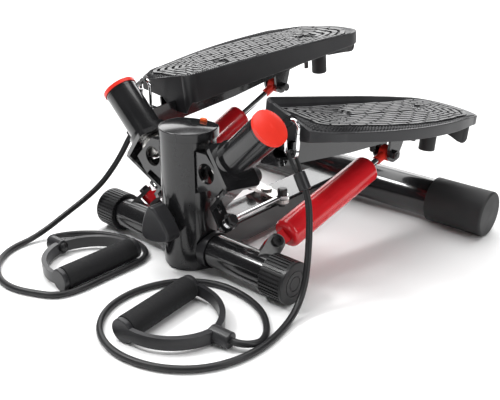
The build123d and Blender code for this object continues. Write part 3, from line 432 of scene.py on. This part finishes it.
def skirt_height(x, y):
    """Lower edge of the skirt, deeper at the toe's wall and in the fin under the heel."""
    outer = np.interp(y, *OUTER_SKIRT)
    low = INNER_SKIRT + (outer - INNER_SKIRT) * np.clip((x - SKIRT_FROM_X) / SKIRT_RUN, 0, 1)
    inside = np.minimum(x - FIN_FROM_X, FIN_TO_X - x)
    short = np.clip(FIN_RADIUS - inside, 0, FIN_RADIUS)
    round_off = FIN_RADIUS - np.sqrt(np.clip(FIN_RADIUS ** 2 - short ** 2, 0, None))
    fin = (y > FIN_FROM_Y) & (inside > 0)
    low[fin] = FIN_LOW + round_off[fin] + FIN_SLOPE * np.clip(FIN_SLOPE_TO_X - x[fin], 0, None)
    toe = (y < TOE_TO_Y) & (x > TOE_WALL[0][0]) & (x < TOE_WALL[0][-1])
    low[toe] = np.interp(x[toe], *TOE_WALL)
    return low


def toward_spine(edge, depth):
    """Each edge point moved inwards towards the pedal's long middle line."""
    spine = np.column_stack([np.full(len(edge), SPINE_X), np.clip(edge[:, 1], SPINE_FROM_Y, SPINE_TO_Y)])
    run = spine - edge
    length = np.hypot(*run.T)
    stretched = FIRST_RIB + (depth - FIRST_RIB) * (length - FIRST_RIB) / (FULL_DEPTH - FIRST_RIB)
    reach = np.clip(np.where(depth > FIRST_RIB, stretched, depth), 0, length)
    return edge + run * (reach / length)[:, None]


def ring_depths():
    """Depths of the tread's rings, each with its kind and its share of the rib's or hatch's height."""
    rings = [(depth, PLAIN, 0.0) for depth in RIM_DEPTHS]
    rings += [(depth, HATCH, 1.0) for depth in HATCH_DEPTHS]
    rings += [(depth, PLAIN, 0.0) for depth in GROOVE_DEPTHS]
    for k in range(RIB_LOOPS):
        start = FIRST_RIB + k * RIB_PITCH
        rings += [(start, k + 1, 0.0), (start + RIB_FLANK, k + 1, 1.0),
                  (start + RIB_WIDTH - RIB_FLANK, k + 1, 1.0), (start + RIB_WIDTH, k + 1, 0.0)]
    return rings


def rib_stands(index, loop):
    """Where a loop's ribs stand: all but short gaps, staggered from one loop to the next."""
    return (index + loop * RIB_STAGGER) % RIB_PERIOD >= RIB_GAP


def pedal_top(edge):
    """Rings of the upper surface, from the outer edge to the last rib."""
    index = np.arange(len(edge))
    rim = rim_height(*edge.T)
    tall = np.clip((rim - tread_height(*edge.T) - TALL_FROM) / TALL_RUN, 0, 1)
    hatched = (1 - tall) * (edge[:, 1] < HATCH_TO_Y)
    rings = []
    for number, (depth, loop, share) in enumerate(ring_depths()):
        wave = 0.0
        if loop > 0:
            wave = WAVE_HEIGHT * np.sin(index * SPACING * 2 * pi / WAVE_LENGTH + loop * WAVE_SHIFT)
        place = toward_spine(edge, depth + wave)
        tread = tread_height(*place.T)
        fall = np.clip((depth - RIM_TOP) / RIM_FALL, 0, 1)
        height = tread + (rim - tread) * (1 - fall * fall * (3 - 2 * fall))
        if depth == 0.0:
            height = height - EDGE_EASE
        if TEETH_FROM <= depth <= TEETH_TO:
            height = height + TOOTH_HEIGHT * tall * (index % TOOTH_PERIOD < TOOTH_PERIOD / 2)
        if loop > 0:
            height = height + RIB_HEIGHT * share * rib_stands(index, loop)
        if loop == HATCH:
            phase = (index + number * 2) % HATCH_PERIOD
            height = height + HATCH_HEIGHT * hatched * (phase < HATCH_PERIOD / 2)
        # Flags the top faces of ribs and hatch, which get the lighter painted-highlight material.
        painted_highlight_flags = (loop != PLAIN) & (height > tread + 0.6 * RIB_HEIGHT * share + 0.01) & (share > 0)
        rings.append((place, height, painted_highlight_flags))
    return rings


def sink_screws(place, height):
    """Round recesses, free of ribs, where the two deck screws sit."""
    for x, y in SCREWS:
        away = np.hypot(place[:, 0] - x, place[:, 1] - y)
        tread = tread_height(*place.T)
        height = np.where(away < SCREW_CLEARING, np.minimum(height, tread), height)
        height = np.where(away < SCREW_RADIUS, tread - SCREW_SINK, height)
    return height


def pedal_rings(edge):
    """Every ring of the closed pedal, from the spine on top, out, down the skirt and back underneath."""
    rings = pedal_top(edge)
    middle = toward_spine(edge, FULL_DEPTH)
    flat = np.zeros(len(edge), bool)
    rings.append((middle, tread_height(*middle.T), flat))
    painted_highlight_flags = [flags for _, _, flags in reversed(rings)]
    rings = [np.column_stack([place, sink_screws(place, height)]) for place, height, _ in reversed(rings)]
    low = skirt_height(*edge.T)
    rings.append(np.column_stack([edge, low + SKIRT_EASE]))
    for depth in (SKIRT_EASE, SKIRT_WALL - SKIRT_EASE):
        rings.append(np.column_stack([toward_spine(edge, depth), low]))
    rings.append(np.column_stack([toward_spine(edge, SKIRT_WALL), low + SKIRT_EASE]))
    for depth, drop in UNDERSIDE:
        place = toward_spine(edge, depth)
        rings.append(np.column_stack([place, tread_height(*place.T) - drop]))
    painted_highlight_flags += [flat] * (len(rings) - len(painted_highlight_flags))
    return rings, np.concatenate(painted_highlight_flags)


def pedal_piece(side):
    edge = pedal_edge()
    rings, painted_highlight_flags = pedal_rings(edge)
    count = len(edge)
    points = seated(np.vstack(rings), side)
    faces = []
    for ring in range(len(rings) - 1):
        near, far = ring * count, (ring + 1) * count
        faces += [(near + i, near + (i + 1) % count, far + (i + 1) % count, far + i) for i in range(count)]
    piece = new_piece(f"{side}_moulded_pedal", points, faces, "pedal_plastic", f"{side}_pedal_assembly",
                      instead_of=f"{side}_pedal")
    # Faces on top of the ribs and hatch take the second material, a lighter painted highlight.
    piece.data.materials.append(materials["pedal_rib_painted_highlight"])
    highlight_faces = [int(painted_highlight_flags[list(face)].all()) for face in faces]
    piece.data.polygons.foreach_set("material_index", highlight_faces)
    weld(piece.data)


# ---------------------------------------------------------------- start
materials = make_materials()
add_camera()
add_world()
add_sun()
for light in AREA_LIGHTS:
    add_area_light(*light)
add_floor()
dress_cad()
band("right", RIGHT_BAND)
band("left", LEFT_BAND)
for side in ("left", "right"):
    pedal_piece(side)
